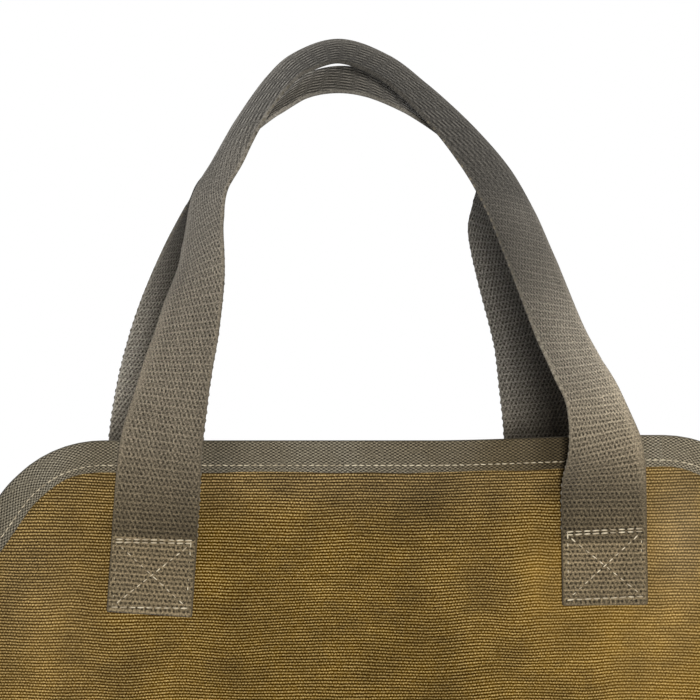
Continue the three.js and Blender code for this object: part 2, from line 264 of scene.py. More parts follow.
# The two faces hang straight from the round bottom
def hangingLegs():
    lean = 0
    leg = canvas["length"] / 2
    for _ in range(8):  # the lean and the legs' length settle together
        leg = (canvas["length"] - canvas["bottomRadius"] * (math.pi + 2 * lean)) / 2
        lean = math.asin((canvas["bottomRadius"] * math.cos(lean) - canvas["topGap"] / 2) / leg)
    frontLeg = leg + canvas["backDrop"] / 2
    sunk = canvas["bottomRadius"] * math.sin(lean) + frontLeg * math.cos(lean)
    return {
        "lean": lean, "frontLeg": frontLeg, "backLeg": leg - canvas["backDrop"] / 2,
        "arc": canvas["bottomRadius"] * (math.pi + 2 * lean), "bottom": canvas["frontEdge"] - sunk,
    }


hang = hangingLegs()


def fromTopEdge(along):
    return np.minimum(along, canvas["length"] - along)


def bowAt(along):
    share = (fromTopEdge(along) - canvas["bowStart"]) / (hang["backLeg"] - canvas["bowStart"])
    return canvas["bowHeight"] * np.sin(math.pi * np.clip(share, 0, 1)) ** 2


def foldsAt(across, along):
    free = smoothStep(fromTopEdge(along), canvas["bowStart"], canvas["bowStart"] + canvas["foldEase"])
    height = 0
    for *fold, rise in softFolds:
        height = height + rise * softMark(across, along, *fold)
    return height * free


# Small ripples of the stiff cloth, which lies flat under the tape and the sewn patches
def ripplesAt(across, along):
    height = 0
    for middle, down, lean, length, breadth, rise in ripples:
        cosLean, sinLean = math.cos(math.radians(lean)), math.sin(math.radians(lean))
        aside = ((across - middle) * cosLean + (along - down) * sinLean) / breadth
        ahead = ((along - down) * cosLean - (across - middle) * sinLean) / length
        height = height + rise * np.exp(-aside ** 2 - ahead ** 2)
    height = height * smoothStep(fromTopEdge(along), *canvas["ripplesFrom"])
    patch = strap["patchHeight"] / 2
    for feet, onBack in ((frontFeet, False), (backFeet, True)):
        for middle, below, _ in feet:
            down = below - patch
            down = canvas["length"] - down if onBack else down
            clear = np.maximum(np.abs(across - middle) - strap["width"] / 2, np.abs(along - down) - patch)
            height = height * smoothStep(clear, *canvas["patchEase"])
    return height


# The middle of the canvas wall, from places on the flat sheet
def midSurface(across, along):
    across, along = np.broadcast_arrays(np.asarray(across, float), np.asarray(along, float))
    lifted = smoothStep(across, canvas["pullFrom"], canvas["pullTo"])
    lifted = lifted * (1 - smoothStep(along, 0, canvas["pullReach"]))
    run = along - canvas["pull"] * lifted
    inArc = np.clip(run - hang["frontLeg"], 0, hang["arc"])
    angle = math.pi - hang["lean"] + inArc / canvas["bottomRadius"]
    onFront = np.minimum(run - hang["frontLeg"], 0)
    onBack = np.maximum(run - hang["frontLeg"] - hang["arc"], 0)
    reach = canvas["bottomRadius"] + bowAt(along) + foldsAt(across, along) + ripplesAt(across, along)
    quarter = canvas["length"] / 4
    sheer = smoothStep(along, quarter, 3 * quarter)
    x = canvas["centre"] + across + canvas["backShift"] * sheer
    y = reach * np.cos(angle) - math.sin(hang["lean"]) * (onFront + onBack)
    z = reach * np.sin(angle) + hang["bottom"] + math.cos(hang["lean"]) * (onBack - onFront)
    return np.stack([x, y, z], -1)


# Across the sheet, towards the front edge, and out of its face
def directionsAt(across, along):
    sideways = unit(midSurface(across + 1, along) - midSurface(across - 1, along))
    upwards = unit(midSurface(across, along - 1) - midSurface(across, along + 1))
    return sideways, upwards, unit(np.cross(sideways, upwards))


def onPanel(across, along, height):
    return midSurface(across, along) + directionsAt(across, along)[2] * np.asarray(height)[..., None]


# One cut corner: an arc, a straight slope and a second arc, as half widths and distances down
def cornerOutline():
    radius, slope = canvas["cornerRadius"], canvas["cornerSlope"]
    first = np.linspace(0, slope, canvas["arcSteps"] + 1)
    second = np.linspace(slope, math.pi / 2, canvas["arcSteps"] + 1)
    half = canvas["topStraight"] / 2 + radius * np.sin(first)
    down = radius * (1 - np.cos(first))
    lowHalf = canvas["width"] / 2 - radius * (1 - math.sin(slope))
    lowDown = down[-1] + (lowHalf - half[-1]) * math.tan(slope)
    shares = np.arange(1, canvas["slopeSteps"]) / canvas["slopeSteps"]
    slopeHalf = half[-1] + (lowHalf - half[-1]) * shares
    slopeDown = down[-1] + (lowDown - down[-1]) * shares
    lastHalf = lowHalf + radius * (np.sin(second) - math.sin(slope))
    lastDown = lowDown + radius * (math.cos(slope) - np.cos(second))
    return join([half, slopeHalf, lastHalf]), join([down, slopeDown, lastDown])


# Half widths and distances along the sheet, from the front top edge to the back one
def panelRows():
    half, down = cornerOutline()
    bottomStart = hang["frontLeg"]
    bottomEnd = bottomStart + hang["arc"]
    backEnd = canvas["length"] - down[-1]
    middle = join([
        np.linspace(down[-1], bottomStart, canvas["legSteps"] + 1)[1:],
        np.linspace(bottomStart, bottomEnd, canvas["bottomSteps"] + 1)[1:],
        np.linspace(bottomEnd, backEnd, canvas["legSteps"] + 1)[1:-1],
    ])
    halves = join([half, np.full(len(middle), canvas["width"] / 2), half[::-1]])
    return halves, join([down, middle, canvas["length"] - down[::-1]])


def makeCanvas():
    half, along = panelRows()
    across = half[:, None] * np.linspace(-1, 1, canvas["columns"] + 1)[None, :]
    along = np.broadcast_to(along[:, None], across.shape)
    outer, inner = (onPanel(across, along, side * canvas["thickness"] / 2) for side in (1, -1))
    rings = join([outer, inner[:, ::-1]], 1)
    places = np.stack([across, along], -1)
    places = join([places, places[:, ::-1]], 1)
    drifted = places + ripplesAt(places[..., 0], places[..., 1])[..., None] * (0, canvas["ribDrift"])
    chart = join([drifted, drifted[:, :1]], 1)
    return sweptPiece("canvas_sling", rings, chart), places


canvasPiece, canvasPlaces = makeCanvas()
print("canvas:", len(canvasPiece.data.polygons), "faces")

# The binding tape, folded over the whole edge and sewn through
binding = {
    "thickness": 0.8, "reach": 13.4, "seat": 0.15, "stitchReach": 10.2, "spacing": 3,
    "groove": 0.28, "grooveBreadth": 1.1, "puff": 0.22, "noseSteps": 8,
    "armReaches": (13.4, 13.25, 12.8, 12.1, 11.3, 10.7, 10.2, 9.7, 9.1, 8, 6.4, 4.6, 2.8, 1.2),
    "freeEdge": 0.35, "freeDrop": 0.8,  # its edge is rounded over this much, by this share of its thickness
    "wanders": ((29, 0.25), (61, 0.16), (97, 0.1)),  # waves of its inner edge: count round the sheet, height
}


# The whole edge of the flat sheet, once round, evenly spaced, with the direction inwards
def panelEdge(spacing):
    half, along = panelRows()
    right = np.stack([half, along], -1)
    corners = join([right, right[::-1] * (-1, 1)])
    loop = join([corners, corners[:1]])
    lengths = runLengths(loop)
    count = round(lengths[-1] / spacing)
    travelled = np.linspace(0, lengths[-1], count, endpoint=False)
    places = np.stack([np.interp(travelled, lengths, loop[:, k]) for k in (0, 1)], -1)
    heading = unit(np.roll(places, -1, 0) - np.roll(places, 1, 0))
    inwards = np.stack([-heading[:, 1], heading[:, 0]], -1)
    return places, inwards, travelled, lengths[-1]


def tapeHeight(reach):  # how far the tape's outside stands off the middle of the canvas
    seated = canvas["thickness"] / 2 + binding["seat"] + binding["thickness"]
    groove = binding["groove"] * np.exp(-((reach - binding["stitchReach"]) / binding["grooveBreadth"]) ** 2)
    swell = binding["puff"] * np.sin(math.pi * np.clip(reach / binding["stitchReach"], 0, 1))
    edge = np.clip((reach - binding["reach"] + binding["freeEdge"]) / binding["freeEdge"], 0, 1)
    drop = binding["freeDrop"] * binding["thickness"] * (1 - np.sqrt(1 - edge ** 2))
    return seated + swell - groove - drop


def makeBinding():
    arm = np.array(binding["armReaches"])
    outside = tapeHeight(0.0)
    turns = np.linspace(math.pi / 2, -math.pi / 2, binding["noseSteps"] + 1)
    inside = canvas["thickness"] / 2 + binding["seat"]
    nose = np.stack([-(outside - inside + binding["seat"]) * np.cos(turns), outside * np.sin(turns)], -1)
    front = np.stack([arm, tapeHeight(arm)], -1)
    hollow = np.array([
        (binding["reach"], -inside), (binding["reach"] / 2, -inside), (-binding["seat"], -inside),
        (-binding["seat"], inside), (binding["reach"] / 2, inside), (binding["reach"], inside),
    ])
    section = join([front, nose, front[::-1] * (1, -1), hollow])
    closed = join([section, section[:1]])
    girth = runLengths(closed)
    places, inwards, travelled, perimeter = panelEdge(binding["spacing"])
    turn = 2 * math.pi * travelled / perimeter
    wander = sum(rise * np.sin(count * turn + count) for count, rise in binding["wanders"])
    reach = section[:, 0] + wander[:, None] * np.clip(section[:, 0] / binding["reach"], 0, 1)
    across = places[:, :1] + inwards[:, :1] * reach
    along = places[:, 1:] + inwards[:, 1:] * reach
    rings = onPanel(across, along, section[:, 1])
    lengthwise = np.append(travelled, perimeter)
    chart = np.stack(np.broadcast_arrays(lengthwise[:, None], girth[None, :]), -1)
    return sweptPiece("edge_tape", rings, chart, joined=True), np.stack([across, along], -1)


bindingPiece, bindingPlaces = makeBinding()
print("binding:", len(bindingPiece.data.polygons), "faces")


# The handles
def strapFoot(foot, onBack, inwardsSign):
    across, below, slant = foot
    along = canvas["length"] - below if onBack else below
    _, upwards, outwards = directionsAt(across, along)
    rising = -upwards if onBack else upwards
    level = np.cross(rising, outwards) * (-1 if onBack else 1)
    slant = math.radians(slant)
    return {
        "seat": midSurface(across, along), "outwards": outwards,
        "run": rising * math.cos(slant) + level * math.sin(slant),
        "wide": (level * math.cos(slant) - rising * math.sin(slant)) * inwardsSign,
    }


def bothFeet(feet, onBack):  # left and right, with their widths towards the middle
    return [strapFoot(foot, onBack, sign) for foot, sign in zip(feet, (1, -1))]


def onFoot(foot, aside, up, height):
    steps = zip((aside, up, height), ("wide", "run", "outwards"))
    return foot["seat"] + sum(np.multiply.outer(size, foot[way]) for size, way in steps)


# From the raw end under the strap, round the fold, to the strap over the patch
def footPlaces(foot):
    low = np.linspace(strap["patchHeight"], foldRadius, strap["layerSteps"], endpoint=False)
    angle = np.linspace(0, math.pi, strap["foldSteps"] + 1)
    high = np.linspace(foldRadius, strap["patchHeight"] * strap["leadAt"][0], strap["layerSteps"])[1:-1]
    up = join([low, foldRadius * (1 - np.sin(angle)), high])
    rounded = lowLayer + foldRadius * (1 - np.cos(angle))
    height = join([np.full(len(low), lowLayer), rounded, np.full(len(high), topLayer)])
    return onFoot(foot, 0, up, height)


# A smooth run through rows; a slack one rounds its turns less where rows lie close together
def smoothRun(rows, steps, slack):
    padded = join([2 * rows[:1] - rows[1:2], rows, 2 * rows[-1:] - rows[-2:-1]])
    before, start, end, after = (padded[k:len(padded) - 3 + k, None] for k in range(4))
    if slack:
        gaps = [np.sqrt(np.linalg.norm(b - a, axis=-1, keepdims=True)) for a, b in
                ((before, start), (start, end), (end, after))]
        leave = (start - before) / gaps[0] - (end - before) / (gaps[0] + gaps[1]) + (end - start) / gaps[1]
        arrive = (end - start) / gaps[1] - (after - start) / (gaps[1] + gaps[2]) + (after - end) / gaps[2]
        leave, arrive = leave * gaps[1], arrive * gaps[1]
    else:
        leave, arrive = (end - before) / 2, (after - start) / 2
    t = (np.arange(steps) / steps)[None, :, None]
    bend = 3 * (end - start) - 2 * leave - arrive
    run = start + leave * t + bend * t ** 2 + (leave + arrive - 2 * (end - start)) * t ** 3
    return join([run.reshape(-1, rows.shape[1]), rows[-1:]])


# A strap's middle line, its width and its hollowing, evenly spaced from end to end
def strapStations(feet, arch, onBack):
    edgeSide = 1 if onBack else -1
    left, right = bothFeet(feet, onBack)
    leadHeights = strap["patchHeight"] * np.array(strap["leadAt"])
    leads = [onFoot(foot, 0, leadHeights, topLayer) for foot in (left, right)]
    arch = np.array(arch, float)
    flat = np.zeros((2, 3))
    centre = smoothRun(join([leads[0], arch[:, :3], leads[1][::-1]]), strap["rowSteps"], True)
    shape = smoothRun(join([flat, arch[:, 3:], flat]), strap["rowSteps"], False)
    heading = unit(np.gradient(centre, axis=0))
    inwards = unit(np.cross([0, 1, 0], heading))
    backwards = np.cross(heading, inwards)
    turn = np.radians(shape[:, :1])
    wide = inwards * np.cos(turn) + backwards * edgeSide * np.sin(turn)
    ends = [footPlaces(foot) for foot in (left, right)]
    centre = join([ends[0], centre, ends[1][::-1]])
    wide = join([np.broadcast_to(left["wide"], ends[0].shape), wide,
                 np.broadcast_to(right["wide"], ends[1].shape)])
    shape = join([np.zeros(ends[0].shape), shape, np.zeros(ends[1].shape)])
    travelled = runLengths(centre)
    fold = len(ends[0]), len(centre) - len(ends[1])  # the folded ends keep their own close places
    even = np.linspace(travelled[fold[0]], travelled[fold[1]], round(travelled[-1] / strap["spacing"]))
    at = join([travelled[:fold[0]], even, travelled[fold[1] + 1:]])

    def resampled(values):
        return np.stack([np.interp(at, travelled, column) for column in values.T], -1)

    centre, wide, shape = resampled(centre), resampled(wide), resampled(shape)
    heading = unit(np.gradient(centre, axis=0))
    wide = unit(wide - heading * (heading * wide).sum(-1, keepdims=True))
    outwards = np.cross(heading, wide) * edgeSide
    return {"centre": centre, "wide": wide, "outwards": outwards, "shape": shape, "at": at}


# How far the strap's middle layer stands off its station, by share of the half width
def strapRise(shape, share):
    curl = shape[:, 2:] * (np.clip(-share - strap["curlFrom"], 0, 1) / (1 - strap["curlFrom"])) ** 2
    return shape[:, 1:2] * (1 - share ** 2) - curl


crowded = math.pi / 2 * strap["edgeCrowding"]  # a strap's lengthwise rows lie closer at its edges
strapShares = np.sin(np.linspace(-crowded, crowded, strap["faceColumns"] + 1)) / math.sin(crowded)
ringShares = join([strapShares, strapShares[::-1]])[None, :]  # over its face and back


def makeStrap(name, stations):
    share, half = strapShares, strap["width"] / 2
    fromEdge = np.clip((1 - np.abs(share)) * half / strap["edgeRound"], 0, 1)
    fullness = np.sqrt(1 - (1 - fromEdge) ** 2)
    face = strap["edgeLeast"] + (strap["thickness"] / 2 - strap["edgeLeast"]) * fullness
    height = strapRise(stations["shape"], ringShares) + join([face, -face[::-1]])
    rings = stations["centre"][:, None] + stations["wide"][:, None] * (ringShares * half)[..., None]
    rings = rings + stations["outwards"][:, None] * height[..., None]
    girth = join([share * half + half, 3 * half - share[::-1] * half, [4 * half]])
    chart = np.stack(np.broadcast_arrays(girth[None, :], stations["at"][:, None]), -1)
    return sweptPiece(name, rings, chart)


frontStations = strapStations(frontFeet, frontArch, False)
backStations = strapStations(backFeet, backArch, True)
frontPiece = makeStrap("front_strap", frontStations)
backPiece = makeStrap("back_strap", backStations)
print("straps:", len(frontPiece.data.polygons) + len(backPiece.data.polygons), "faces")


# Materials

# A plain weave as a height from 0 to 1: rows with beads that shift by half a bead from row to row
threads = {
    # waves to a millimetre, and detail
    "noises": {"drift": (0.11, 2), "fine": (0.7, 1), "pulled": (0.018, 1), "pick": (0.45, 2)},
    "ragged": {1: 0.3, 2: 0.7, 3: 0.1, 4: 1.7},  # a noise from and to, as a bead's strength from and to
    "lineSharpness": 3,
}


def weaveGroup():
    tree = newGroup("plainWeave", "ShaderNodeTree", [
        ("INPUT", "Float", ["Bead", "Row", "Level", "Rib", "Check", "Line", "Slant", "Uneven", "Sway"]),
        ("OUTPUT", "Float", ["Height"]),
    ])
    node = partial(add, tree)
    given = node("NodeGroupInput").outputs
    chart = node("UVMap", uv_map=mapName)
    noise = {name: node("TexNoise", {"Vector": chart, "Scale": scale, "Detail": detail}).outputs
             for name, (scale, detail) in threads["noises"].items()}
    # slack threads: the map drifts by a share of a row
    both = node("VectorMath.ADD", [noise["drift"]["Color"], noise["fine"]["Color"]])
    centred = node("VectorMath.SUBTRACT", [both, (1, 1, 1)])
    slack = node("Math.MULTIPLY", [given["Row"], given["Uneven"]])
    shift = node("VectorMath.SCALE", {0: centred, "Scale": slack})
    # pulled cloth: the rows wander over longer distances
    bent = node("VectorMath.SUBTRACT", [noise["pulled"]["Color"], (0.5, 0.5, 0.5)])
    sway = node("VectorMath.SCALE", {0: bent, "Scale": given["Sway"]})
    swayed = node("VectorMath.ADD", [chart, sway])
    moved = node("VectorMath.ADD", [swayed, shift])
    parts = node("SeparateXYZ", [moved]).outputs
    beads = node("Math.DIVIDE", [parts["X"], given["Bead"]])
    rows = node("Math.DIVIDE", [parts["Y"], given["Row"]])
    beadAngle = node("Math.MULTIPLY", [beads, 2 * math.pi])
    rowAngle = node("Math.MULTIPLY", [rows, 2 * math.pi])
    halfAngle = node("Math.MULTIPLY", [rows, math.pi])
    lean = node("Math.SINE", [rowAngle])
    leaning = node("Math.MULTIPLY_ADD", [lean, given["Slant"], beadAngle])
    waves = [node("Math.COSINE", [angle]) for angle in (leaning, halfAngle, rowAngle)]
    even = node("Math.MULTIPLY", [waves[0], waves[1]])
    # some beads stand proud and some are lost among their neighbours
    ragged = node("MapRange", {0: noise["pick"]["Fac"], **threads["ragged"]})
    checker = node("Math.MULTIPLY", [even, ragged])
    dotted = node("Math.MULTIPLY_ADD", [checker, given["Check"], given["Level"]])
    ribbed = node("Math.MULTIPLY_ADD", [waves[2], given["Rib"], dotted])
    # a thick weft thread lies between every second pair of rows
    between = node("Math.SINE", [halfAngle], use_clamp=True)
    narrow = node("Math.POWER", [between, threads["lineSharpness"]])
    height = node("Math.MULTIPLY_ADD", [narrow, given["Line"], ribbed], use_clamp=True)
    node("NodeGroupOutput", {"Height": height})
    return tree


plainWeave = weaveGroup()


ageing = {  # sockets 1 and 2 of a range: from and to
    "noise": {1: 0.3, 2: 0.7}, "mottle": {1: 0.33, 2: 0.67},  # a noise keeps mostly between these
    "blotch": {1: 0.62, 2: 0.38},  # blotches come in where the mottling is dark
    "rubbed": {1: 1, 2: 1.5},  # the tone at which cloth begins to be rubbed flat, and is
    "sheenRough": 0.5,
}


# A woven cloth in relief: threads are pale on their crowns, deeper on their sides and dark in the gaps
def wovenMaterial(name, cloth):
    material, shader = newMaterial(name)
    node = partial(add, material.node_tree)
    chart = node("UVMap", uv_map=mapName)
    # the tone attribute holds wear together with painted light and shade
    wearAndShade, stain = (node("Attribute", attribute_name=key).outputs["Fac"]
                   for key in ("toneAndShade", "stain"))
    height = node("Group", cloth["weave"], node_tree=plainWeave)
    fray = cloth["fray"]
    for look in ("grip", "sewn"):  # bent and held, a strap's warp stands out; sewn flat, its weft does
        if look in cloth:
            share = node("Attribute", attribute_name=look).outputs["Fac"]
            changed = node("Group", cloth[look], node_tree=plainWeave)
            height = node("Mix", {0: share, 2: height, 3: changed})
    if "bareLitTone" in cloth:  # and its edges are rubbed smooth, the outer band painted lighter as painted light
        bare = node("Attribute", attribute_name="bare").outputs["Fac"]
        height = node("Mix", {0: bare, 2: height, 3: cloth["bareLitTone"]})
        fray = node("MapRange", {0: bare, 3: cloth["fray"], 4: cloth["bareFray"]})
    fibre = node("TexNoise", {"Vector": chart, "Scale": 1 / cloth["fibre"], "Detail": 2})
    stretched = node("VectorMath.MULTIPLY", [chart, cloth["streak"]])
    streak = node("TexNoise", {"Vector": stretched, "Scale": 1, "Detail": 2})
    mottle = node("TexNoise", {"Vector": chart, "Scale": 1 / cloth["mottle"], "Detail": 5})
    frayed = node("Math.ADD", [fibre, -0.5])
    woven = node("Math.MULTIPLY_ADD", [frayed, fray, height], use_clamp=True)
    rub = node("MapRange", {0: wearAndShade, **ageing["rubbed"], 4: cloth["rubbedFlat"]})
    tone = node("Mix", {0: rub, 2: woven, 3: cloth["weave"]["Level"]})
    tip = node("Math.POWER", [tone, cloth["tip"]])
    raised = node("Mix", {0: tip, 6: linear(cloth["side"]), 7: linear(cloth["crown"])}, data_type="RGBA")
    dyed = node("Mix", {0: tone, 6: linear(cloth["gap"]), 7: raised}, data_type="RGBA")
    dark = cloth["streakDark"]
    streaked = node("MapRange", {0: streak, **ageing["noise"], 3: dark, 4: 2 - dark})
    dark = cloth["mottleDark"]
    mottled = node("MapRange", {0: mottle, **ageing["mottle"], 3: dark, 4: 2 - dark})
    shade = node("Math.MULTIPLY", [streaked, mottled])
    wornAndShaded = node("Math.MULTIPLY", [shade, wearAndShade])
    blotch = node("MapRange", {0: mottle, **ageing["blotch"], 4: cloth["blotch"]})
    stained = node("Math.ADD", [stain, blotch], use_clamp=True)
    tinted = node("Mix", {0: stained, 6: dyed, 7: linear(cloth["stain"])},
                  data_type="RGBA", blend_type=cloth["stainBlend"])
    colour = node("VectorMath.SCALE", {0: tinted, "Scale": wornAndShaded})
    bump = node("Bump", {"Height": tone, "Strength": cloth["bump"], "Distance": cloth["relief"] * mm})
    least, most = cloth["rough"]
    rough = node("MapRange", {0: mottle, **ageing["noise"], 3: least, 4: most})
    feed(shader, {
        "Base Color": colour, "Normal": bump, "Roughness": rough,
        "Specular IOR Level": cloth["specular"], "Sheen Weight": cloth["sheen"],
        "Sheen Roughness": ageing["sheenRough"],
    })
    return material


# Cotton duck, woven in ribs and waxed: dry and matt, darker and greener where the wax lies thick
waxedCanvas = wovenMaterial("waxed_cotton_duck", {
    "weave": {"Bead": 1.3, "Row": 1.34, "Level": 0.48, "Rib": 0.4, "Check": 0.24, "Uneven": 0.28, "Sway": 4},
    "fibre": 0.8, "fray": 1.2, "gap": "#2b1700", "side": "#7c5d00", "crown": "#b7a06a", "tip": 2.2,
    "stain": "#837150", "stainBlend": "COLOR", "blotch": 0.1, "rubbedFlat": 0.3,
    "streak": (0.06, 0.9, 1), "streakDark": 0.84, "mottle": 18, "mottleDark": 0.82,
    "bump": 0.7, "relief": 0.35, "rough": (0.8, 0.95), "specular": 0.03, "sheen": 0,
})
# Cotton webbing, basket woven on a narrow loom: dull, with dark gaps in rows, browner where wax got on it
cottonWebbing = wovenMaterial("basket_woven_cotton_webbing", {
    "weave": {"Bead": 2.07, "Row": 2.0, "Level": 0.565, "Rib": -0.06, "Check": -0.32, "Line": 0.13,
              "Slant": 0.5, "Uneven": 0.42, "Sway": 2},
    "grip": {"Bead": 4.2, "Row": 7, "Level": 0.5, "Check": 0.75, "Slant": 0.6, "Uneven": 0.12, "Sway": 3},
    "sewn": {"Bead": 2.07, "Row": 2.0, "Level": 0.555, "Rib": -0.17, "Check": -0.26, "Line": 0.14,
             "Slant": 0.2, "Uneven": 0.22, "Sway": 1},
    # the rubbed outer band: painted light, and more fraying
    "bareLitTone": 0.76, "bareFray": 1.2,
    "fibre": 0.7, "fray": 1.7, "gap": "#29261f", "side": "#65635e", "crown": "#aba79f", "tip": 1,
    "stain": "#f0dcb4", "stainBlend": "MULTIPLY", "blotch": 0, "rubbedFlat": 0,
    "streak": (0.22, 0.02, 1), "streakDark": 0.9, "mottle": 45, "mottleDark": 0.93,
    "bump": 0.8, "relief": 0.5, "rough": (0.82, 0.95), "specular": 0.2, "sheen": 0.08,
})
# Cotton twill tape: fine diamonds, a little smoother than the webbing
twillTape = wovenMaterial("cotton_twill_tape", {
    "weave": {"Bead": 2.35, "Row": 0.68, "Level": 0.46, "Check": 0.7, "Uneven": 0.3, "Sway": 1},
    "fibre": 0.7, "fray": 1.3, "gap": "#231f19", "side": "#888374", "crown": "#9d988a", "tip": 1,
    "stain": "#f2e0bc", "stainBlend": "MULTIPLY", "blotch": 0.3, "rubbedFlat": 0,
    "streak": (0.05, 0.4, 1), "streakDark": 0.93, "mottle": 40, "mottleDark": 0.9,
    "bump": 0.6, "relief": 0.3, "rough": (0.8, 0.95), "specular": 0.2, "sheen": 0.06,
})


yarn = {
    "change": 5, "changeRange": {1: 0.35, 2: 0.65}, "twist": 0.4,
    "bump": 0.5, "relief": 0.1, "rough": 0.8, "specular": 0.25,
}


# Twisted cotton yarn: a faint change of tone along it
def yarnMaterial(name, dark, light):
    material, shader = newMaterial(name)
    node = partial(add, material.node_tree)
    place = node("TexCoord").outputs["Object"]
    change, twist = (node("TexNoise", {"Vector": place, "Scale": 1 / (yarn[key] * mm), "Detail": 1})
                     for key in ("change", "twist"))
    tone = node("MapRange", {0: change, **yarn["changeRange"]})
    colour = node("Mix", {0: tone, 6: linear(dark), 7: linear(light)}, data_type="RGBA")
    bump = node("Bump", {"Height": twist, "Strength": yarn["bump"], "Distance": yarn["relief"] * mm})
    feed(shader, {"Base Color": colour, "Normal": bump, "Roughness": yarn["rough"],
                  "Specular IOR Level": yarn["specular"]})
    return material


cottonThread = yarnMaterial("twisted_cotton_thread", "#aca08a", "#eae0c8")  # pale against the cloth
weftYarn = yarnMaterial("soft_cotton_weft", "#5d594f", "#7c766a")  # the webbing's own dull grey

# Where wax lies thick or is rubbed, painted shade beside the straps and painted light towards the right:
# across, along, half breadth, half length, change of tone, stain
waxAndShadeMarks = [
    (18, 27, 30, 15, -0.28, 0.15),
    (-20, 14, 130, 16, 0.02, 0.6),
    (-150, 92, 40, 50, 0.21, 0.2),
    (-165, 50, 40, 40, -0.05, 0.4),
    # these three: painted light towards the right of the sheet
    (74, 60, 10, 22, 0.4, 0.05),
    (118, 90, 44, 50, 0.58, 0.15),
    (134, 40, 20, 34, 0.5, 0.8),
    (46, 60, 30, 30, 0.12, 0.1),
    # these three: painted shadows beside the straps, below the tape
    (-78, 25, 8, 24, -0.2, 0),
    (-125, 28, 6, 24, -0.12, 0),
    (78, 26, 7, 16, -0.45, 0),
    (5, 95, 80, 45, -0.11, 0),
]
tapeAndShadeMarks = [  # the same columns
    # painted shade left of the right strap, with a brown stain
    (45, 5, 45, 40, -0.2, 0.4),
    (-120, 10, 40, 40, 0.14, 0),
    (-185, 60, 40, 40, -0.2, 0),
    (138, 10, 30, 40, 0.36, 0),
    (-20, 5, 40, 40, 0.06, 0),
    # these four: painted shadows beside the straps, some with a brown stain
    (-126, 8, 12, 40, -0.31, 0.35),
    (-74, 8, 12, 40, -0.32, 0),
    (54, 8, 12, 40, -0.16, 0.4),
    (77, 8, 12, 40, -0.55, 0.7),
]

# How a strap has aged and where light and shade are painted on it, as short lists of distance along it and
# value: tone with painted light and shade, brown stain, warp lines of the grip, weft lines where it is sewn
# flat, breadth of the bare outer edge, painted shade along both turned edges, and painted light and shade
# across the width
frontWearAndShade = {
    # tone: painted light lifts the left leg (about 140 to 300) and the right leg's lower run (about 500 to
    # 570); painted shade darkens the strap just above each patch (about 71 and 600 to 630)
    "tone": [(69, 0.95), (71, 0.48), (113, 0.9), (140, 1.1), (220, 1.4), (265, 1.6), (304, 1.4), (345, 0.8),
             (448, 0.7), (463, 0.97), (482, 0.9), (502, 1.2), (522, 1.8), (545, 2.08), (562, 2.05),
             (592, 0.9), (606, 0.56), (626, 0.54), (629, 0.95)],
    "stain": [(69, 0.9), (113, 0.55), (180, 0.4), (290, 0), (450, 0), (545, 0.3), (606, 0.75), (629, 0.9)],
    "grip": [(235, 0), (304, 1), (405, 1), (462, 0)],
    "sewn": [(68, 1), (71, 0.7), (110, 0), (540, 0), (580, 0.6), (625, 0.6), (628, 1)],
    "bare": [(71, 0), (140, 0.3), (300, 0.5), (405, 0.5), (462, 0.25), (522, 0.25), (570, 0.4), (626, 0.1)],
    "edgeShade": [(69, 1), (75, 0.5), (280, 0.5), (304, 1), (405, 1), (440, 0.5), (623, 0.5), (629, 1)],
    # painted light and shade across the width: above 0 the outer edge is lighter and the inner edge darker
    "acrossShade": [(69, 0), (72, 0.1), (245, 0.05), (265, 0.27), (298, 0.03), (330, 0.31), (376, 0.28), (405, 0),
               (448, 0.22), (463, 0.43), (522, 0.44), (550, 0.3), (625, 0.18), (629, 0)],
}
backWearAndShade = {
    # tone: painted light lifts the left leg (about 110 to 190) and the crown (about 300 to 380) where the
    # front strap shades them; painted shade darkens the strap above each patch (about 80 and 570 to 620)
    "tone": [(66, 0.86), (80, 0.7), (112, 1.65), (140, 2.2), (158, 2.2), (192, 1.4), (208, 0.95), (240, 0.66),
             (290, 0.95), (304, 1.3), (316, 2.4), (330, 2), (345, 1.2), (378, 1.6), (390, 1.1), (420, 0.76),
             (450, 0.85), (545, 0.84), (568, 0.76), (590, 0.5), (620, 0.6), (632, 0.86)],
    "stain": [(66, 0.75), (112, 0.2), (158, 0), (545, 0), (590, 0.3), (632, 0.75)],
    "grip": [(240, 0), (304, 1), (378, 1), (450, 0)],
    "sewn": [(66, 1), (69, 0), (629, 0), (632, 1)],
    "bare": [(0, 0)],
    "edgeShade": [(66, 1), (80, 0.5), (265, 0.5), (304, 1), (378, 1), (420, 0.5), (620, 0.5), (632, 1)],
    # below 0: painted shade towards the outer edge of the right leg
    "acrossShade": [(80, 0), (140, 0.16), (208, 0), (420, 0), (450, -0.28), (500, -0.36), (568, -0.34), (600, 0)],
}
bareEase, bareMost, leastBare = 0.6, 0.65, 0.01  # the bare band is full over this share of its breadth
plainFrom, plainTo = 0.95, 0.985  # by share of the half width: the turned edge shows no weave
# painted shade on a strap's turned edges: the tone they keep where the table gives 1
edgeShadeTone = 0.45
foldShade = {"middle": 34.5, "reach": 2.5, "tone": 0.5}  # painted shade in the fold at a strap's sewn end, from the end


# A named value for each point of a piece
def setValues(piece, name, values):
    attribute = piece.data.attributes.new(name, "FLOAT", "POINT")
    attribute.data.foreach_set("value", np.ascontiguousarray(values, dtype=np.float32).ravel())


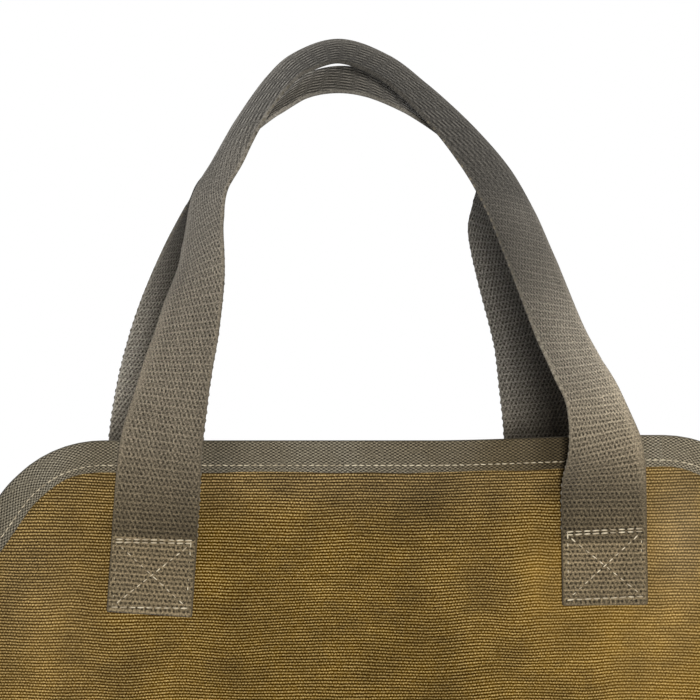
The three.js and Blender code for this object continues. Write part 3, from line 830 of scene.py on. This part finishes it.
def paintStrapWearAndShade(piece, stations, wearAndShade):
    at, share = stations["at"], ringShares
    level = {name: np.interp(at, *zip(*steps))[:, None] for name, steps in wearAndShade.items()}
    even = np.ones(share.shape)
    plain = smoothStep(np.abs(share), plainFrom, plainTo)
    breadth = np.maximum(level["bare"], leastBare)
    rubbed = bareMost * smoothStep(-share, 1 - breadth, 1 - bareEase * breadth)
    # painted shade in the fold near each sewn end
    fromEnd = np.minimum(at - at[0], at[-1] - at)[:, None]
    folded = 1 - smoothStep(np.abs(fromEnd - foldShade["middle"]), foldShade["reach"] / 2, foldShade["reach"])
    # painted shade along the turned edges
    edgeShade = 1 - (1 - edgeShadeTone) * plain * level["edgeShade"]
    # painted light and shade across the width, together with the painted edge and fold shade
    tone = level["tone"] * (1 - level["acrossShade"] * share) * edgeShade * (1 - (1 - foldShade["tone"]) * folded)
    setValues(piece, "toneAndShade", tone)
    setValues(piece, "bare", np.maximum(rubbed, plain))
    for name in ("stain", "grip", "sewn"):
        setValues(piece, name, level[name] * even)


# Tone and stain at places on the flat sheet, from a table of soft marks
def marksAt(across, along, table):
    tone = np.ones(np.shape(across))
    stain = np.zeros(np.shape(across))
    for *place, change, share in table:
        mark = softMark(across, along, *place)
        tone = tone + change * mark
        stain = stain + share * mark
    return tone, stain


def paintSheetWearAndShade(piece, sheetPlaces, table, ridgeLightAndShade=0):
    across, along = sheetPlaces[..., 0], sheetPlaces[..., 1]
    tone, stain = marksAt(across, along, table)
    # painted light on the ripples' ridges and painted shade in their hollows
    tone = tone + ridgeLightAndShade * ripplesAt(across, along)
    setValues(piece, "toneAndShade", tone)
    setValues(piece, "stain", stain)


paintSheetWearAndShade(canvasPiece, canvasPlaces, waxAndShadeMarks, canvas["ridgeLightAndShade"])
paintSheetWearAndShade(bindingPiece, bindingPlaces, tapeAndShadeMarks)
paintStrapWearAndShade(frontPiece, frontStations, frontWearAndShade)
paintStrapWearAndShade(backPiece, backStations, backWearAndShade)
finishes = [waxedCanvas, twillTape, cottonWebbing, cottonWebbing]
for piece, finish in zip([canvasPiece, bindingPiece, frontPiece, backPiece], finishes):
    piece.data.materials.append(finish)
print("materials:", len(bpy.data.materials))


beadShape = {"Segments": 8, "Rings": 6, "Radius": 0.5}
beadSpread = {2: 0.86, 3: 1.08}  # beads differ in size between these shares


# Beads laid along rows: stitches, and the turns of the weft at a strap's edges
def beadTree():
    tree = newGroup("beadsAlongRows", "GeometryNodeTree", [
        ("INPUT", "Geometry", ["Rows"]),
        ("INPUT", "Float", ["Pitch", "Length", "Width", "Height", "Turn"]),
        ("INPUT", "Int", ["Seed"]),
        ("INPUT", "Material", ["Finish"]),
        ("OUTPUT", "Geometry", ["Beads"]),
    ])
    node = partial(add, tree)
    given = node("NodeGroupInput").outputs
    curves = node("GeometryNodeMeshToCurve", {"Mesh": given["Rows"]})
    spaced = node("GeometryNodeResampleCurve", {"Curve": curves, "Length": given["Pitch"]}, mode="LENGTH")
    heading = node("GeometryNodeInputTangent")
    away = node("GeometryNodeInputNamedAttribute", {"Name": "away"}, data_type="FLOAT_VECTOR")
    ahead = node("FunctionNodeAlignRotationToVector", {"Vector": heading}, axis="X")
    facing = node("FunctionNodeAlignRotationToVector", {"Rotation": ahead, "Vector": away},
                  axis="Z", pivot_axis="X")
    least = node("Math.MULTIPLY", [given["Turn"], -1])
    askew = node("FunctionNodeRandomValue", {2: least, 3: given["Turn"], "Seed": given["Seed"]},
                 data_type="FLOAT")
    swing = node("CombineXYZ", {"Z": askew})
    swung = node("FunctionNodeEulerToRotation", [swing])
    turned = node("FunctionNodeRotateRotation", [facing, swung], rotation_space="LOCAL")
    spread = node("FunctionNodeRandomValue", {**beadSpread, "Seed": given["Seed"]}, data_type="FLOAT")
    size = node("CombineXYZ", {"X": given["Length"], "Y": given["Width"], "Z": given["Height"]})
    varied = node("VectorMath.SCALE", {0: size, "Scale": spread})
    bead = node("GeometryNodeMeshUVSphere", beadShape)
    laid = node("GeometryNodeInstanceOnPoints",
                {"Points": spaced, "Instance": bead, "Rotation": turned, "Scale": varied})
    real = node("GeometryNodeRealizeInstances", {"Geometry": laid})
    smooth = node("GeometryNodeSetShadeSmooth", {"Geometry": real})
    finished = node("GeometryNodeSetMaterial", {"Geometry": smooth, "Material": given["Finish"]})
    node("NodeGroupOutput", {"Beads": finished})
    return tree


beadsAlongRows = beadTree()


# Rows are (points, directions away from the cloth, closed), and the result is one plain mesh
def layBeads(name, rows, sizes, finish):
    points, aways, edges = [], [], []
    for places, away, closed in rows:
        first = len(points)
        points.extend((places * mm).tolist())
        aways.extend(np.broadcast_to(away, places.shape).tolist())
        edges.extend((first + k, first + k + 1) for k in range(len(places) - 1))
        if closed:
            edges.append((len(points) - 1, first))
    mesh = bpy.data.meshes.new(name + "Rows")
    mesh.from_pydata(points, edges, [])
    mesh.attributes.new("away", "FLOAT_VECTOR", "POINT").data.foreach_set("vector", np.ravel(aways))
    guide = linkedObject(name + "Rows", mesh)
    modifier = guide.modifiers.new("beads", "NODES")
    modifier.node_group = beadsAlongRows
    values = {key: value * mm for key, value in sizes.items() if key not in ("Turn", "Seed")}
    values.update({"Turn": math.radians(sizes["Turn"]), "Seed": sizes["Seed"], "Finish": finish})
    for item in beadsAlongRows.interface.items_tree:
        if item.in_out == "INPUT" and item.name in values:
            modifier[item.identifier] = values[item.name]
    graph = bpy.context.evaluated_depsgraph_get()
    laid = bpy.data.meshes.new_from_object(guide.evaluated_get(graph), depsgraph=graph)
    laid.name = name
    guide.modifiers.remove(modifier)
    bpy.data.objects.remove(guide)
    return linkedObject(name, laid)


stitches = {
    "tape": {"Pitch": 3.2, "Length": 2.7, "Width": 0.52, "Height": 0.7, "Turn": 7, "Seed": 3},
    "patch": {"Pitch": 3.7, "Length": 3.2, "Width": 0.7, "Height": 0.7, "Turn": 5, "Seed": 5},
    "boxSide": 16.4, "boxLow": 2.4, "boxHigh": 32.6,  # the box on a patch: half width, lower and upper row
    "doubleRow": 1.3, "proud": 0.1, "sideSunk": 0.42, "crossSunk": 0.32, "corner": 1.0, "crossTrim": 2.6,
    "skew": [0.05, -0.035, 0, 0],  # rise of the rows for each step towards the middle, at each foot
    "rowPoints": 12,
}


def tapeRows():
    places, inwards, _, _ = panelEdge(binding["spacing"])
    places = places + inwards * binding["stitchReach"]
    height = tapeHeight(binding["stitchReach"]) + stitches["proud"]
    rows = []
    for side in (1, -1):
        rowPoints = onPanel(*places.T, side * height)
        rows.append((rowPoints, directionsAt(*places.T)[2] * side, True))
    return rows


# The sewn box with its cross, on the strap and through to the inside of the canvas
def patchRows(foot, skew):
    side, low, high = stitches["boxSide"], stitches["boxLow"], stitches["boxHigh"]
    sideSunk, crossSunk = stitches["sideSunk"], stitches["crossSunk"]
    second = high - stitches["doubleRow"]
    near = side - stitches["corner"]  # rows stop short of the corners, where their ends would pile up
    lowest, head = low + stitches["corner"], high - 2 * stitches["corner"]
    tip = side - stitches["crossTrim"]
    crossLow, crossHigh = low + stitches["crossTrim"], second - stitches["crossTrim"]
    lines = [
        *(((-near, row), (near, row), 0) for row in (low, high, second)),
        ((side, lowest), (side, head), sideSunk), ((-side, head), (-side, lowest), sideSunk),
        ((-tip, crossLow), (tip, crossHigh), crossSunk), ((-tip, crossHigh), (tip, crossLow), crossSunk),
    ]
    inside = -canvas["thickness"] / 2 - stitches["proud"]
    rows = []
    for start, end, sunk in lines:
        outside = topLayer + strap["thickness"] / 2 + stitches["proud"] - sunk
        steps = np.linspace(0, 1, stitches["rowPoints"])
        aside = start[0] + (end[0] - start[0]) * steps
        up = start[1] + (end[1] - start[1]) * steps + aside * skew
        for height, sign in ((outside, 1), (inside, -1)):
            rows.append((onFoot(foot, aside, up, height), foot["outwards"] * sign, False))
    return rows


allFeet = bothFeet(frontFeet, False) + bothFeet(backFeet, True)
tapeThread = layBeads("tape_stitches", tapeRows(), stitches["tape"], cottonThread)
sewnRows = [row for foot, skew in zip(allFeet, stitches["skew"]) for row in patchRows(foot, skew)]
patchThread = layBeads("patch_stitches", sewnRows, stitches["patch"], cottonThread)
print("stitches:", len(tapeThread.data.polygons) + len(patchThread.data.polygons), "faces")

# The weft turns back at both edges of a strap and shows there as small teeth
selvedge = {"Pitch": 4.0, "Length": 2.2, "Width": 0.8, "Height": 1.1, "Turn": 16, "Seed": 7}
toothedRuns = [(72, 300), (404, 622)]  # along the strap: its legs, since the grip is rubbed smooth


def selvedgeRows(stations, shares):
    rows = []
    for share in shares:
        for start, end in toothedRuns:
            run = (stations["at"] > start) & (stations["at"] < end)
            aside = stations["wide"][run] * share * strap["width"] / 2
            rise = strapRise(stations["shape"][run], np.array([[float(share)]]))
            outwards = stations["outwards"][run]
            rows.append((stations["centre"][run] + aside + outwards * rise, outwards, False))
    return rows


frontTeeth = layBeads("front_strap_selvedge", selvedgeRows(frontStations, [1]), selvedge, weftYarn)
backTeeth = layBeads("back_strap_selvedge", selvedgeRows(backStations, [-1, 1]), selvedge, weftYarn)
print("selvedges:", len(frontTeeth.data.polygons) + len(backTeeth.data.polygons), "faces")

# What each piece stands for and rides on
dressing = [
    (canvasPiece, "waxed_canvas", "canvas_panel"),
    (bindingPiece, "binding_tape", "edge_binding"),
    (frontPiece, "cotton_webbing", "front_handle"),
    (backPiece, "cotton_webbing", "back_handle"),
    (tapeThread, "binding_tape", None),
    (patchThread, "cotton_webbing", None),
    (frontTeeth, "cotton_webbing", None),
    (backTeeth, "cotton_webbing", None),
]
for piece, slotName, node in dressing:
    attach(piece, "root")
    if node:
        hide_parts(node)


def flatArea():  # the sheet's area as it was cut, in square metres
    half, along = panelRows()
    return float(((half[1:] + half[:-1]) * np.diff(along)).sum()) * mm * mm


flatArea()
print("sheet: flat area %.4f square metres" % flatArea())

# Camera, floor and light
studio = {
    "cameraPlace": (5.7, -1170, -128.3), "focalPixels": 2461, "imagePixels": 700, "sensor": 36,
    "floorDrop": 45, "floorRadius": 1500, "floorSides": 96, "floorColour": "#ececea", "floorRough": 0.9,
    "aim": (10, 0, -170),
    "boxes": [  # name, place, width, height, watts, colour
        ("keyBox", (165, -1900, -110), 300, 300, 29, "#fffaf2"),
        ("leftBox", (-1300, -100, 0), 800, 900, 4.2, "#f6f8ff"),
        ("lowBox", (-1100, -700, -600), 700, 700, 1.2, "#ffffff"),
        ("topBox", (0, 100, 1250), 1200, 1200, 4, "#ffffff"),
        ("rightBox", (1450, -260, 250), 700, 900, 1.5, "#fff4e6"),
        ("backBox", (500, 1700, 200), 1200, 1200, 18, "#ffffff"),
    ],
}


def makeCamera():
    data = bpy.data.cameras.new("photoCamera")
    data.sensor_width = studio["sensor"]
    data.lens = studio["sensor"] * studio["focalPixels"] / studio["imagePixels"]
    camera = linkedObject("photoCamera", data)
    camera.location = [c * mm for c in studio["cameraPlace"]]
    camera.rotation_euler = (math.pi / 2, 0, 0)
    bpy.context.scene.camera = camera


def makeFloor():
    level = cadBox[0].z - studio["floorDrop"] * mm
    turns = np.linspace(0, 2 * math.pi, studio["floorSides"], endpoint=False)
    radius = studio["floorRadius"] * mm
    rim = [(radius * math.cos(t), radius * math.sin(t), level) for t in turns]
    mesh = bpy.data.meshes.new("paleFloor")
    mesh.from_pydata(rim, [], [list(range(len(rim)))])
    floor = linkedObject("paleFloor", mesh)
    material, shader = newMaterial("matt_white_paint")  # an even, pale ground
    feed(shader, {"Base Color": linear(studio["floorColour"]), "Roughness": studio["floorRough"]})
    mesh.materials.append(material)


def makeLight():
    for name, place, width, height, watts, colour in studio["boxes"]:
        data = bpy.data.lights.new(name, "AREA")
        data.shape = "RECTANGLE"
        data.size = width * mm
        data.size_y = height * mm
        data.energy = watts
        data.color = linear(colour)[:3]
        box = linkedObject(name, data)
        box.location = [c * mm for c in place]
        aim = Vector([c * mm for c in studio["aim"]]) - box.location
        box.rotation_euler = aim.to_track_quat("-Z", "Y").to_euler()
        box.visible_camera = False
    world = bpy.data.worlds.new("whiteRoom")
    world.use_nodes = True
    world.node_tree.nodes["Background"].inputs["Color"].default_value = (1, 1, 1, 1)
    world.cycles_visibility.diffuse = False  # the white room is a backdrop, and the boxes give the light
    world.cycles_visibility.glossy = False
    bpy.context.scene.world = world
    bpy.context.scene.view_settings.view_transform = "Standard"


makeCamera()
makeFloor()
makeLight()
